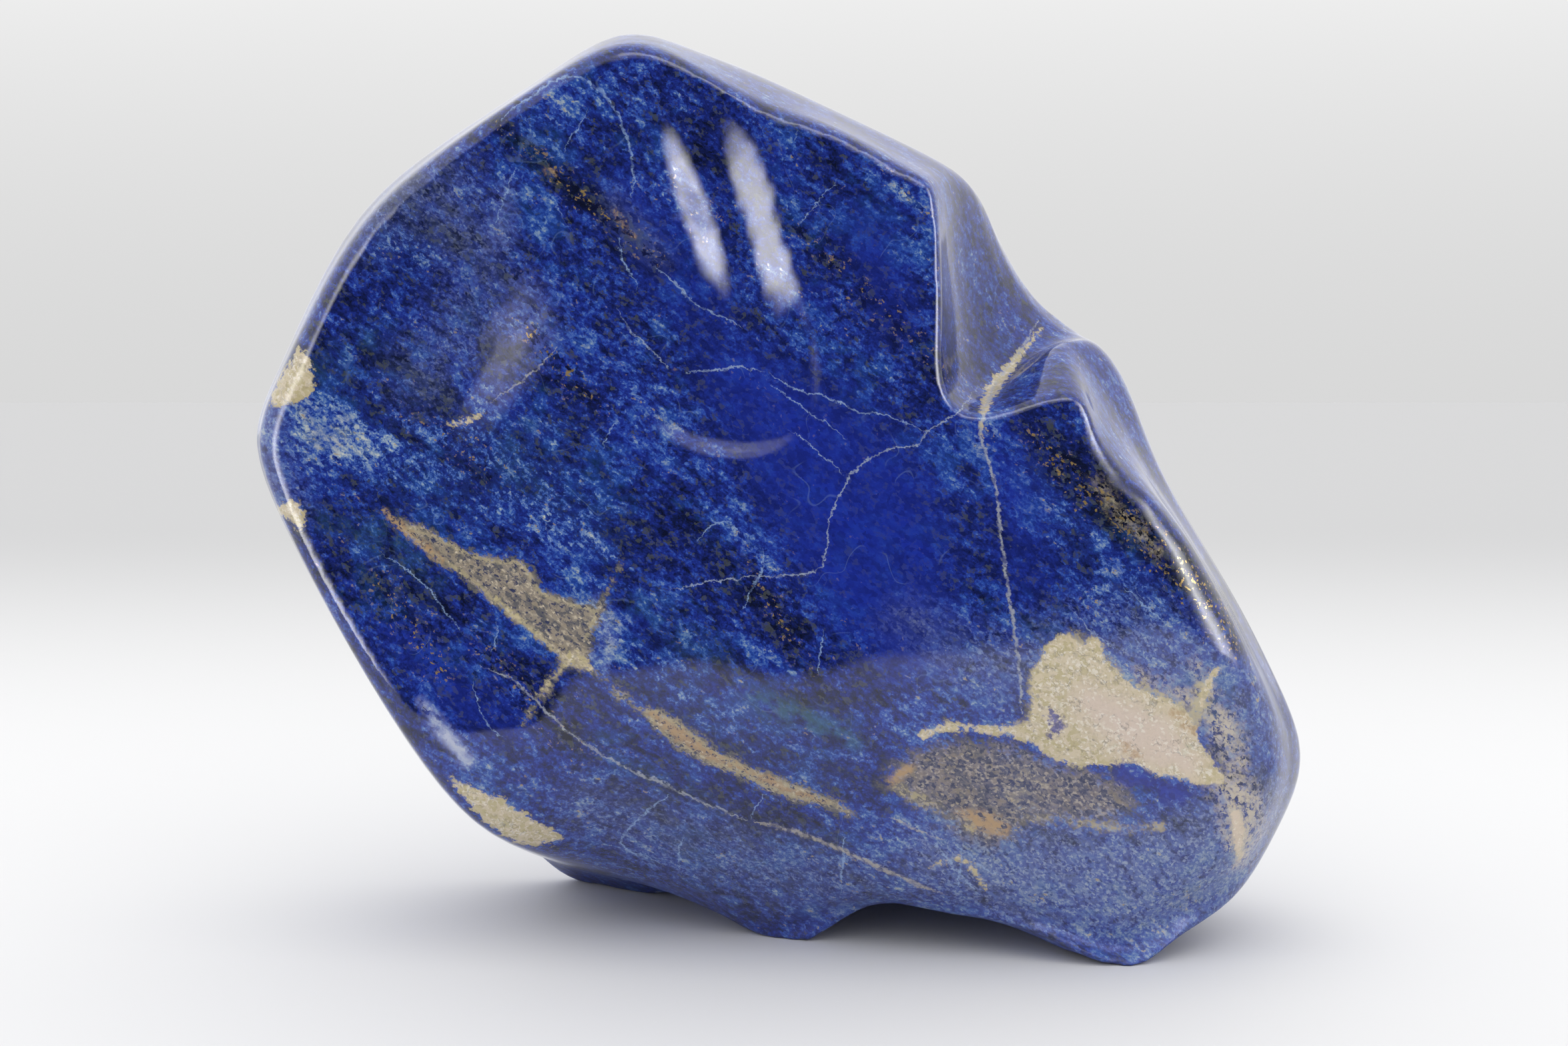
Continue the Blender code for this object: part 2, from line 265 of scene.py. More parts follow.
paints = {
    "tone": {           # above zero paler, below zero darker
        "front": [
            (0.03, 60, [(480, 420, 30), (700, 300, 90), (900, 240, 60)]),
            (-0.03, 50, [(990, 170, 40), (1180, 330, 90), (1330, 500, 40)]),
            (0.05, 40, [(900, 520, 40), (990, 640, 50)]),
            (0.07, 40, [(780, 700, 40), (900, 790, 40)]),
            (-0.06, 40, [(440, 820, 20), (560, 900, 50), (680, 1020, 40)]),
            (-0.05, 30, [(480, 720, 10), (640, 800, 14)]),
            (0.2, 40, [(405, 650, 30), (470, 640, 50), (560, 660, 40), (640, 700, 36)]),
            (0.13, 30, [(640, 660, 20), (740, 740, 30), (850, 830, 24)]),
            (0.1, 30, [(690, 600, 30), (740, 630, 20)]),
            (-0.12, 22, [(790, 500, 6), (850, 560, 14), (905, 625, 8)]),
            (-0.12, 26, [(520, 510, 8), (600, 560, 12), (690, 600, 6)]),
            (0.09, 40, [(880, 900, 40), (960, 980, 50), (1060, 1050, 30)]),
            (0.1, 30, [(1060, 760, 20), (1150, 830, 30)]),
            (0.06, 40, [(1090, 900, 40), (1180, 1000, 30)]),
            (-0.08, 24, [(1110, 850, 6), (1170, 930, 10), (1215, 1010, 6)]),
            (-0.02, 60, [(1180, 620, 70), (1290, 780, 110), (1350, 930, 60)]),
            (0.07, 36, [(1330, 880, 10), (1410, 960, 40), (1480, 1010, 30)]),
            (0.12, 40, [(1610, 720, 20), (1670, 800, 36), (1740, 880, 40)]),
            (0.05, 40, [(1500, 650, 40), (1530, 760, 40)]),
            (0.13, 50, [(1650, 960, 50), (1800, 1020, 60), (1860, 1100, 50)]),
            (0.08, 40, [(1340, 1090, 30), (1460, 1060, 40)]),
            (0.16, 50, [(1380, 1280, 50), (1540, 1320, 80), (1700, 1330, 100), (1840, 1290, 60)]),
            (0.11, 40, [(1300, 1300, 30), (1400, 1360, 40)]),
            (0.05, 50, [(860, 1210, 40), (1040, 1270, 60), (1240, 1330, 50)]),
            (-0.07, 20, [(980, 1160, 8), (1120, 1220, 10), (1260, 1260, 6)]),
            (-0.2, 26, [(1523, 630, 14), (1600, 690, 26), (1700, 790, 34), (1800, 895, 30),
                        (1862, 985, 10)]),
            (-0.24, 16, [(746, 187, 4), (826, 255, 10), (901, 315, 12), (993, 396, 8), (1056, 412, 3)]),
            (-0.1, 30, [(900, 860, 6), (1000, 960, 16), (1120, 1020, 20), (1300, 1080, 10)]),
            (-0.1, 26, [(960, 680, 6), (1060, 800, 14), (1180, 960, 20), (1330, 1010, 12)]),
            (-0.08, 20, [(560, 620, 4), (700, 700, 10), (860, 760, 8)]),
            (-0.1, 18, [(500, 760, 4), (600, 850, 8), (720, 960, 8)]),
            (-0.13, 20, [(1180, 330, 4), (1300, 440, 10), (1420, 560, 6)]),
            (-0.1, 20, [(1040, 240, 4), (1150, 310, 8)]),
            (-0.12, 20, [(700, 930, 6), (790, 1010, 10), (850, 1120, 8)]),
            (-0.1, 20, [(540, 870, 10), (600, 930, 16), (660, 980, 8)]),
            (-0.05, 16, [(1560, 1250, 6), (1640, 1260, 8)]),
            (0.12, 24, [(830, 150, 14), (900, 130, 16)]),
            # painted highlight: the lower left drawn paler where the light catches it
            (0.3, 16, [(628, 1046, 4), (664, 1094, 12), (702, 1142, 8)]),
            (0.2, 18, [(892, 915, 8), (920, 950, 12), (900, 1000, 8)]),
            (0.1, 16, [(450, 880, 6), (520, 960, 8)]),
            # painted highlight: the pale streak along the crease at the left
            (0.12, 14, [(575, 405, 4), (540, 500, 8), (476, 594, 6)]),
        ],
        "back": [
            (0.08, 80, [(560, 560, 60), (760, 760, 90), (980, 900, 60)]),
            (0.15, 60, [(1260, 420, 40), (1440, 640, 70), (1640, 900, 60)]),
            (-0.05, 80, [(900, 300, 80), (1120, 560, 120), (1300, 800, 90)]),
            (0.16, 60, [(1300, 1140, 50), (1600, 1240, 90)]),
            (-0.16, 30, [(700, 320, 8), (900, 540, 24), (1080, 680, 12)]),
            (-0.15, 30, [(1180, 500, 8), (1380, 700, 22), (1560, 820, 8)]),
            (-0.15, 30, [(560, 840, 8), (760, 980, 26), (900, 1080, 10)]),
            (-0.12, 30, [(1000, 900, 6), (1240, 1120, 20), (1440, 1220, 8)]),
            (0.14, 40, [(660, 1120, 30), (860, 1240, 40)]),
        ],
    },
    "calm": {           # 1 where the blue is clean and even
        "front": [
            (0.75, 60, [(1090, 560, 40), (1200, 660, 100), (1300, 790, 120), (1350, 930, 70)]),
            (0.45, 40, [(930, 300, 30), (1050, 450, 50)]),
            (0.55, 40, [(1300, 350, 40), (1340, 470, 30)]),
            (0.5, 30, [(600, 950, 20), (680, 1040, 30), (760, 1090, 20)]),
            (0.4, 50, [(1520, 700, 40), (1540, 860, 40)]),
        ],
        "back": [
            (0.7, 80, [(920, 380, 60), (1120, 600, 120), (1300, 780, 90)]),
            (0.5, 60, [(720, 1000, 50), (960, 1140, 60)]),
        ],
    },
    "green": {          # a dull green cast
        "front": [
            (0.9, 16, [(1118, 1040, 6), (1180, 1068, 20), (1285, 1112, 10)]),
            (0.5, 22, [(440, 770, 6), (560, 800, 14), (660, 870, 8)]),
            (0.5, 24, [(790, 640, 6), (760, 690, 12), (800, 730, 8)]),
            (0.35, 40, [(960, 900, 20), (1060, 990, 30)]),
            (0.4, 26, [(470, 560, 14), (560, 500, 16)]),
            (0.4, 40, [(1800, 1040, 30), (1850, 1100, 20)]),
            (0.35, 30, [(880, 1120, 10), (1010, 1175, 14)]),
        ],
        "back": [
            (0.6, 40, [(1000, 300, 10), (1200, 400, 26)]),
            (0.5, 40, [(820, 1180, 10), (1000, 1240, 24)]),
        ],
    },
    "grey": {           # a violet grey veil
        "front": [
            (0.5, 60, [(1360, 930, 10), (1500, 1000, 40), (1700, 960, 50), (1860, 1080, 60)]),
            (0.4, 50, [(880, 1210, 30), (1100, 1290, 50), (1300, 1330, 40)]),
            (0.85, 60, [(1400, 1290, 40), (1560, 1310, 70), (1760, 1310, 80), (1890, 1210, 40)]),
            (0.45, 50, [(400, 640, 30), (420, 760, 24)]),
            # painted reflection: a pale grey streak where a pinkish reflection falls
            (0.4, 30, [(918, 300, 6), (950, 345, 12), (990, 388, 6)]),
            (0.35, 60, [(540, 330, 40), (640, 280, 60), (720, 420, 40), (640, 560, 40)]),
        ],
        "back": [
            (0.5, 80, [(1400, 1000, 60), (1640, 1120, 80)]),
            (0.4, 60, [(500, 640, 60)]),
        ],
    },
    "slate": {          # a dull dark ground
        "front": [
            (1.0, 50, [(430, 560, 40), (520, 640, 60), (640, 700, 60), (800, 720, 60), (900, 800, 40)]),
            (0.8, 40, [(560, 260, 30), (600, 360, 50)]),
            (0.8, 30, [(470, 760, 14), (560, 830, 20), (640, 900, 16)]),
            (0.8, 40, [(1560, 700, 30), (1640, 820, 40), (1720, 900, 30)]),
            (0.8, 30, [(560, 520, 16), (700, 640, 24), (860, 640, 20)]),
            (0.7, 40, [(900, 940, 30), (1040, 1060, 40), (1240, 1160, 30)]),
            (0.6, 40, [(900, 1200, 30), (1100, 1260, 40), (1300, 1320, 40)]),
            (0.5, 30, [(700, 150, 20), (840, 240, 20), (960, 360, 14)]),
        ],
        "back": [
            (0.8, 60, [(640, 400, 40), (800, 560, 60), (900, 760, 50)]),
            (0.8, 60, [(1200, 560, 40), (1420, 760, 60), (1500, 980, 50)]),
        ],
    },
    "milkAndPaintedSheen": {           # milky calcite in the blue; on the front also painted highlights and painted reflections
        "front": [
            # painted highlight: a pale streak at the lower left, drawn as milky calcite
            (1.0, 9, [(630, 1050, 2), (664, 1096, 9), (700, 1140, 8)]),
            # painted reflection: pale haze over the upper left
            (0.22, 24, [(762, 285, 6), (750, 358, 10)]),
            (0.2, 36, [(790, 440, 16), (806, 505, 20), (740, 590, 8)]),
            (0.4, 16, [(896, 900, 4), (912, 950, 8), (905, 1000, 4)]),
            (0.5, 14, [(846, 996, 4), (880, 980, 10)]),
        ],
        "back": [
            (0.45, 30, [(1300, 520, 10), (1420, 640, 20), (1480, 760, 8)]),
            (0.35, 30, [(620, 1120, 10), (760, 1200, 16)]),
        ],
    },
    "gold": {           # pyrite
        "front": [
            (1.0, 24, [(1560, 660, 10), (1640, 750, 22), (1700, 790, 22), (1800, 890, 22),
                       (1850, 960, 12)]),
            (0.8, 18, [(750, 190, 8), (826, 255, 14), (901, 320, 14), (993, 396, 10)]),
            (0.7, 20, [(790, 500, 10), (850, 560, 18), (900, 620, 10)]),
            (0.6, 24, [(1180, 330, 6), (1300, 440, 14), (1420, 560, 10)]),
            (0.7, 24, [(560, 870, 12), (600, 920, 20), (660, 1000, 16)]),
            (0.6, 24, [(720, 950, 12), (800, 1060, 16), (880, 1130, 14)]),
            (0.6, 20, [(1120, 840, 8), (1170, 930, 14), (1215, 1010, 8)]),
            (0.5, 30, [(620, 620, 20), (720, 700, 20)]),
            (0.5, 24, [(1420, 1200, 20), (1520, 1230, 20)]),
        ],
        "back": [
            (1.0, 30, [(700, 320, 10), (900, 540, 24), (1080, 680, 14)]),
            (1.0, 30, [(1180, 500, 10), (1380, 700, 24), (1560, 820, 10)]),
            (0.9, 30, [(560, 840, 10), (760, 980, 28), (900, 1080, 12)]),
            (0.8, 30, [(1000, 900, 8), (1240, 1120, 24), (1440, 1220, 10)]),
        ],
    },
}
for name, p in paints.items():
    paint(name, p)
print("paints laid: %d" % len(paints))


def insideOf(places, line):
    inside = np.zeros(len(places), bool)
    x, y = places[:, 0], places[:, 1]
    for a, b in zip(line[:-1], line[1:]):
        crossing = (b[0] - a[0]) * (y - a[1]) / (b[1] - a[1] + 1e-12) + a[0]
        inside ^= ((a[1] > y) != (b[1] > y)) & (x < crossing)
    return inside


def patch(name, p, reach=120.0, far=300.0):     # keeps mm to the edge of a patch, below zero inside
    total = np.full(count, reach)
    for side, places, away in (("front", seen, onBack), ("back", behind, onFront)):
        value = np.full(count, reach)
        for stroke in p.get(side, ()):
            line = smoothLine(stroke)
            at = near(places, line, reach)
            found = toLine(places[at], line)
            value[at] = np.minimum(value[at], found["dist"] - found["row"][:, 2])
        outlines = p.get("outlines", ()) if side == "front" else ()
        for corners in outlines:
            line = smoothLine(corners + corners[:1])
            at = near(places, line, reach)
            dist = toLine(places[at], line)["dist"]
            value[at] = np.minimum(value[at], np.where(insideOf(places[at], line), -dist, dist))
        total = np.minimum(total, value + away * far)
    keep(name, np.minimum(total, reach) * stone["pixel"])


patches = {
    "beige": {          # warm calcite bands
        "front": [
            [(878, 1000, 7), (910, 1022, 2), (930, 1042, 9), (955, 1060, 3), (981, 1074, 14),
             (1016, 1100, 18), (1062, 1132, 15), (1119, 1158, 12), (1154, 1174, 14), (1199, 1190, 13),
             (1245, 1205, 9), (1285, 1224, 3)],
            [(850, 990, 8), (820, 1030, 6), (782, 1086, 3)],
            [(888, 935, 5), (912, 882, 3), (934, 840, 1)],
        ],
        "outlines": [
            [(571, 764), (603, 779), (660, 800), (696, 821), (746, 836), (781, 836), (803, 864), (817, 885),
             (860, 900), (902, 914), (888, 949), (881, 985), (876, 1008), (845, 996), (824, 978),
             (796, 953), (760, 921), (732, 900), (689, 864), (639, 832), (603, 800)],
        ],
        "back": [
            [(620, 560, 6), (760, 700, 30), (900, 800, 40), (1020, 900, 24), (1160, 960, 12)],
            [(1160, 960, 12), (1320, 1040, 22), (1480, 1080, 10)],
        ],
    },
    "orange": {         # rust in the warm bands
        "front": [
            [(575, 768, 4), (620, 808, 6), (660, 838, 3)],
            [(975, 1068, 4), (1016, 1098, 8), (1062, 1130, 6), (1119, 1157, 4), (1180, 1183, 4),
             (1240, 1204, 2)],
            [(820, 255, 3), (832, 258, 3)],
            # painted reflection: the same reflected streak warmed with orange
            [(920, 314, 3), (940, 344, 4), (965, 368, 1)],
            [(1436, 1220, 7), (1472, 1232, 15), (1500, 1243, 12)],
            [(1335, 1168, 8), (1365, 1150, 6)],
            [(1010, 554, 1)],
            [(1760, 1070, 5), (1790, 1096, 6)],
            [(1681, 1116, 5), (1704, 1130, 5)],
        ],
        "back": [
            [(700, 640, 14), (800, 730, 18)],
            [(1320, 1040, 14)],
        ],
    },
    "cream": {          # large calcite patches
        "front": [
            [(673, 635, 2), (700, 632, 5), (722, 618, 1)],
            [(410, 768, 6), (438, 764, 14), (450, 788, 6)],
            [(846, 1000, 2), (860, 984, 8), (884, 1002, 4)],
            [(836, 1006, 3), (804, 1046, 1)],
            [(726, 884, 1), (800, 946, 3), (846, 986, 4)],
            [(1396, 1300, 1), (1440, 1285, 3), (1480, 1330, 1)],
            [(1800, 1060, 4), (1812, 1020, 6), (1830, 1000, 2)],
            [(1846, 1205, 2), (1852, 1226, 8), (1858, 1258, 9), (1856, 1284, 3)],
            [(1560, 496, 1), (1528, 532, 4), (1503, 562, 8), (1484, 590, 9), (1474, 622, 4),
             (1475, 652, 1)],
        ],
        "outlines": [
            [(1592, 949), (1620, 962), (1646, 957), (1655, 986), (1684, 1012), (1712, 1035), (1753, 1049),
             (1787, 1078), (1799, 1112), (1822, 1150), (1836, 1176), (1781, 1170), (1735, 1164),
             (1701, 1147), (1667, 1147), (1609, 1147), (1575, 1135), (1529, 1107), (1471, 1101),
             (1426, 1095), (1380, 1112), (1374, 1101), (1403, 1087), (1471, 1084), (1529, 1087),
             (1546, 1072), (1546, 1026), (1558, 986), (1575, 963)],
            [(446, 523), (466, 536), (469, 586), (449, 599), (406, 609), (420, 566)],
            [(666, 1158), (752, 1198), (809, 1233), (844, 1256), (798, 1267), (752, 1250), (706, 1210)],
        ],
        "back": [
            [(1560, 620, 20), (1620, 700, 50), (1700, 800, 30)],
            [(520, 900, 16), (600, 980, 34), (680, 1060, 18)],
            [(980, 140, 10), (1060, 180, 26), (1160, 230, 12)],
        ],
    },
    "rosy": {           # the pink heart of the largest patch
        "front": [
            [(1630, 1050, 20), (1690, 1090, 36), (1740, 1115, 34), (1780, 1145, 16)],
            [(1850, 1222, 10), (1858, 1262, 10)],
        ],
        "back": [
            [(1640, 720, 20)],
        ],
    },
    "pepper": {         # grey and brown grain
        "outlines": [
            [(1324, 1170), (1345, 1143), (1381, 1120), (1457, 1112), (1519, 1120), (1574, 1142),
             (1629, 1153), (1671, 1168), (1706, 1196), (1698, 1218), (1643, 1232), (1581, 1228),
             (1540, 1234), (1520, 1258), (1478, 1270), (1440, 1254), (1395, 1216), (1347, 1188)],
        ],
        "back": [
            [(1180, 1000, 14), (1280, 1080, 40), (1400, 1130, 30)],
            [(860, 700, 10), (960, 780, 30)],
        ],
    },
    "grit": {           # pale grains loose in the blue
        "front": [
            [(1800, 1165, 6), (1838, 1178, 24), (1858, 1205, 34), (1862, 1250, 28), (1858, 1290, 10)],
            [(1700, 1010, 4), (1770, 1045, 12), (1836, 1090, 22), (1850, 1140, 20)],
            [(1790, 1000, 6), (1815, 1040, 12)],
            [(1640, 720, 1), (1700, 790, 5), (1740, 830, 1)],
        ],
        "back": [
            [(1600, 560, 20), (1720, 720, 26)],
            [(540, 1020, 16), (700, 1120, 20)],
        ],
    },
    "deep": {           # deep blue islands
        "front": [
            [(1580, 1076, 10), (1584, 1092, 9)],
            [(1690, 1160, 18), (1712, 1166, 14)],
            [(1752, 1188, 18), (1772, 1194, 10)],
        ],
    },
    "straw": {          # a yellow border
        "front": [
            [(1374, 1106, 6), (1420, 1090, 7), (1500, 1092, 6), (1546, 1080, 8), (1552, 1020, 10),
             (1590, 965, 14), (1640, 970, 12)],
            [(1655, 990, 8), (1700, 1025, 8), (1790, 1075, 14), (1800, 1030, 10)],
            [(1350, 1185, 6), (1408, 1216, 4), (1460, 1240, 4)],
            [(1530, 1228, 3), (1609, 1232, 4), (1667, 1241, 5), (1741, 1239, 3)],
        ],
        "back": [
            [(1560, 620, 10), (1640, 640, 10)],
        ],
    },
}
for name, p in patches.items():
    patch(name, p)
print("patches drawn: %d" % len(patches))

veins = {               # points, half width in mm, and 0 for pale blue to 1 for warm
    "front": [
        ([(1557, 477), (1541, 508), (1514, 546), (1495, 573), (1484, 592), (1476, 615), (1471, 640),
          (1474, 672), (1489, 718), (1497, 770), (1503, 821), (1509, 867), (1517, 925), (1526, 976),
          (1529, 1028), (1532, 1074)], 0.38, 0.6),
        ([(1471, 577), (1451, 600), (1431, 623), (1391, 646), (1377, 666), (1339, 672), (1305, 687),
          (1282, 704), (1265, 730), (1245, 770), (1239, 821), (1225, 859), (1150, 864), (1080, 868),
          (1000, 884)], 0.2, 0.4),
        ([(1150, 557), (1184, 580), (1236, 595), (1288, 618), (1328, 623), (1368, 638),
          (1391, 646)], 0.2, 0.1),
        ([(1150, 575), (1196, 606), (1236, 632), (1271, 664)], 0.16, 0.1),
        ([(1179, 641), (1207, 661), (1236, 687), (1271, 715)], 0.15, 0.2),
        ([(746, 184), (800, 140), (844, 115), (872, 118), (901, 138), (924, 166), (941, 212), (950, 253),
          (947, 298)], 0.3, 0.0),
        ([(924, 350), (935, 390), (958, 442)], 0.2, 0.0),
        ([(884, 158), (867, 189), (849, 218), (844, 235)], 0.22, 0.0),
        ([(775, 247), (763, 276), (752, 310), (740, 344)], 0.22, 0.0),
        ([(821, 287), (838, 316), (855, 344)], 0.18, 0.0),
        ([(979, 396), (1010, 425), (1039, 453), (1085, 476), (1119, 494)], 0.22, 0.1),
        ([(924, 459), (947, 499), (981, 528), (1004, 557)], 0.24, 0.3),
        ([(1020, 556), (1060, 556), (1110, 552), (1150, 557)], 0.2, 0.2),
        ([(1190, 345), (1228, 300), (1262, 262)], 0.14, 0.1),
        ([(1215, 290), (1235, 318)], 0.16, 0.1),
        ([(1195, 189), (1190, 218)], 0.18, 0.0),
        ([(731, 605), (771, 579), (804, 552), (841, 519)], 0.26, 0.7),
        ([(925, 625), (913, 650), (900, 680)], 0.22, 0.0),
        ([(820, 780), (823, 805), (830, 830)], 0.26, 0.0),
        ([(1145, 815), (1142, 850), (1128, 885), (1110, 915)], 0.28, 0.0),
        ([(1045, 815), (1060, 792), (1085, 783), (1100, 790), (1115, 800)], 0.26, 0.0),
        ([(1233, 942), (1230, 975), (1227, 1011)], 0.28, 0.0),
        ([(745, 930), (742, 955), (735, 985)], 0.24, 0.0),
        ([(1010, 1187), (970, 1216), (935, 1250), (933, 1267), (947, 1279), (999, 1296)], 0.26, 0.0),
        ([(1027, 1250), (1016, 1273), (1019, 1302), (1027, 1313)], 0.24, 0.0),
        ([(1151, 1187), (1131, 1210), (1128, 1230)], 0.26, 0.0),
        ([(1265, 1250), (1262, 1300), (1260, 1340)], 0.28, 0.0),
        ([(717, 998), (763, 1015), (803, 1052), (844, 1089), (901, 1130), (958, 1161), (1010, 1181),
          (1067, 1210), (1125, 1230)], 0.3, 0.55),
        ([(1125, 1230), (1182, 1244), (1245, 1267), (1322, 1302), (1380, 1328), (1420, 1342)], 0.55, 0.9),
        ([(1330, 1225), (1380, 1248), (1420, 1262)], 0.3, 0.8),
        ([(1678, 879), (1700, 890), (1722, 915), (1747, 930)], 0.26, 0.0),
        ([(1700, 870), (1712, 900)], 0.18, 0.0),
        ([(1400, 1262), (1430, 1300), (1470, 1345)], 0.34, 0.1),
        ([(1440, 1270), (1470, 1300), (1500, 1312)], 0.28, 0.1),
        ([(1432, 1340), (1442, 1290), (1436, 1262)], 0.26, 0.0),
        ([(1600, 905), (1640, 950), (1700, 985)], 0.16, 0.3),
        ([(708, 1015), (725, 1080), (760, 1110)], 0.18, 0.0),
        ([(560, 820), (640, 880), (700, 960)], 0.14, 0.0),
    ],
    "back": [
        ([(700, 240), (820, 420), (900, 640), (1060, 860), (1120, 1080), (1180, 1300)], 0.36, 0.3),
        ([(900, 640), (1100, 700), (1320, 720), (1500, 800)], 0.26, 0.1),
        ([(1000, 180), (1060, 320), (1200, 440), (1260, 600)], 0.26, 0.0),
        ([(560, 700), (700, 820), (780, 1000), (760, 1160)], 0.26, 0.6),
        ([(1320, 720), (1360, 900), (1480, 1060), (1500, 1240)], 0.26, 0.0),
        ([(620, 420), (760, 500), (860, 520)], 0.24, 0.0),
        ([(1560, 900), (1680, 1000), (1760, 1160)], 0.26, 0.2),
    ],
    "reach": 14.0,          # pixels to each side that know their distance to a vein
    "look": 2.5,            # times the reach, as are the next two
    "apart": 2.4,           # between two veins of one group
    "tinted": 2.0,
    "leastShare": 0.02,     # where the front's drawing has all but faded
    "taper": 50.0,          # pixels
    "endWidth": 0.2,        # share of the half width at a vein's end
}


def drawVeins(v):
    reach = v["reach"]
    groups = []                     # veins that lie close together or cross go into different groups
    for side, places, share in (("front", seen, onFront), ("back", behind, onBack)):
        for points, half, tone in v[side]:
            line = smoothLine(points)
            at = near(places, line, reach * v["look"])
            found = toLine(places[at], line)
            dist = found["dist"]
            end = np.minimum(found["along"], found["length"] - found["along"])
            for g in groups:
                if not g["taken"][at[dist < reach * v["apart"]]].any():
                    break
            else:
                g = {"taken": np.zeros(count, bool), "value": np.zeros((count, 4), np.float32)}
                g["value"][:, 0] = reach * stone["pixel"]
                groups.append(g)
            close = (dist < reach) & (share[at] > v["leastShare"]) & (end > 0)
            width = half * np.clip(v["endWidth"] + end / v["taper"], v["endWidth"], 1) * share[at]
            g["taken"][at[close]] = True
            g["value"][at[close], 0] = (dist * found["side"] * stone["pixel"])[close]
            g["value"][at[close], 1] = width[close]
            g["value"][at[close], 2] = 1
            g["value"][at[dist < reach * v["tinted"]], 3] = tone
    for i, g in enumerate(groups):
        layer = lapis.data.attributes.new("veins%d" % i, "FLOAT_COLOR", "POINT")
        layer.data.foreach_set("color", g["value"].ravel())
    return len(groups)


veinLayers = drawVeins(veins)
print("veins drawn in %d layers" % veinLayers)

# shader maths as Python expressions


class Value:
    def __init__(self, maker, socket):
        self.maker = maker
        self.socket = socket

    def calc(self, kind, other=0.0, turned=False):
        pair = [other, self] if turned else [self, other]
        return self.maker.add("ShaderNodeMath", {"operation": kind}, dict(enumerate(pair)))

    def __add__(self, other):
        return self.calc("ADD", other)

    def __sub__(self, other):
        return self.calc("SUBTRACT", other)

    def __mul__(self, other):
        return self.calc("MULTIPLY", other)

    def __truediv__(self, other):
        return self.calc("DIVIDE", other)

    def __rsub__(self, other):
        return self.calc("SUBTRACT", other, True)

    def __rtruediv__(self, other):
        return self.calc("DIVIDE", other, True)

    __radd__ = __add__
    __rmul__ = __mul__

    def size(self):
        return self.calc("ABSOLUTE")

    def atMost(self, other):
        return self.calc("MINIMUM", other)

    def atLeast(self, other):
        return self.calc("MAXIMUM", other)

    def step(self, low, high):      # 0 at low, 1 at high, smooth between; low may be the larger
        return self.maker.add("ShaderNodeMapRange", {"interpolation_type": "SMOOTHSTEP"},
                              {"Value": self, "From Min": low, "From Max": high})

    def between(self, middle, half, soft):
        low, high = middle - half, middle + half
        return self.step(low - soft, low + soft) * self.step(high + soft, high - soft)


class Maker:
    def __init__(self, tree):
        self.tree = tree

    def add(self, kind, settings=None, values=None, out=0):
        node = self.tree.nodes.new(kind)
        for key, setting in (settings or {}).items():
            setattr(node, key, setting)
        for key, value in (values or {}).items():
            if isinstance(value, Value):
                self.tree.links.new(value.socket, node.inputs[key])
            else:
                node.inputs[key].default_value = value
        return Value(self, node.outputs[out])

    def vector(self, kind, values):
        return self.add("ShaderNodeVectorMath", {"operation": kind}, values)

    def mapped(self, place, **values):
        return self.add("ShaderNodeMapping", {}, {"Vector": place, **values})

    def parts(self, value):
        split = self.add("ShaderNodeSeparateXYZ", {}, {0: value}).socket.node
        return [Value(self, out) for out in split.outputs]

    def noise(self, place, scale, detail, rough, out=0):
        values = {"Vector": place, "Scale": scale, "Detail": detail, "Roughness": rough}
        return self.add("ShaderNodeTexNoise", {}, values, out)

    def shake(self, place, scale, reach):   # places moved about by a coloured noise
        off = self.vector("SUBTRACT", {0: self.noise(place, scale, 2.0, 0.5, "Color"), 1: (0.5, 0.5, 0.5)})
        off = self.vector("SCALE", {0: off, "Scale": reach})
        return self.vector("ADD", {0: place, 1: off})

    def crystals(self, place, scale):   # a random value for each grain
        return self.parts(self.add("ShaderNodeTexVoronoi", {}, {"Vector": place, "Scale": scale}, "Color"))[0]

    def kept(self, name, out="Fac"):
        return self.add("ShaderNodeAttribute", {"attribute_name": name}, {}, out)

    def blend(self, amount, first, second):
        settings = {"data_type": "RGBA", "clamp_factor": True}
        return self.add("ShaderNodeMix", settings, {0: amount, 6: first, 7: second}, 2)

    def ramp(self, value, stops):
        made = self.add("ShaderNodeValToRGB", {}, {0: value})
        elements = made.socket.node.color_ramp.elements
        for at, color in stops[1:-1]:
            elements.new(at)
        for element, (at, color) in zip(elements, stops):
            element.position = at
            element.color = (*color, 1)
        return made


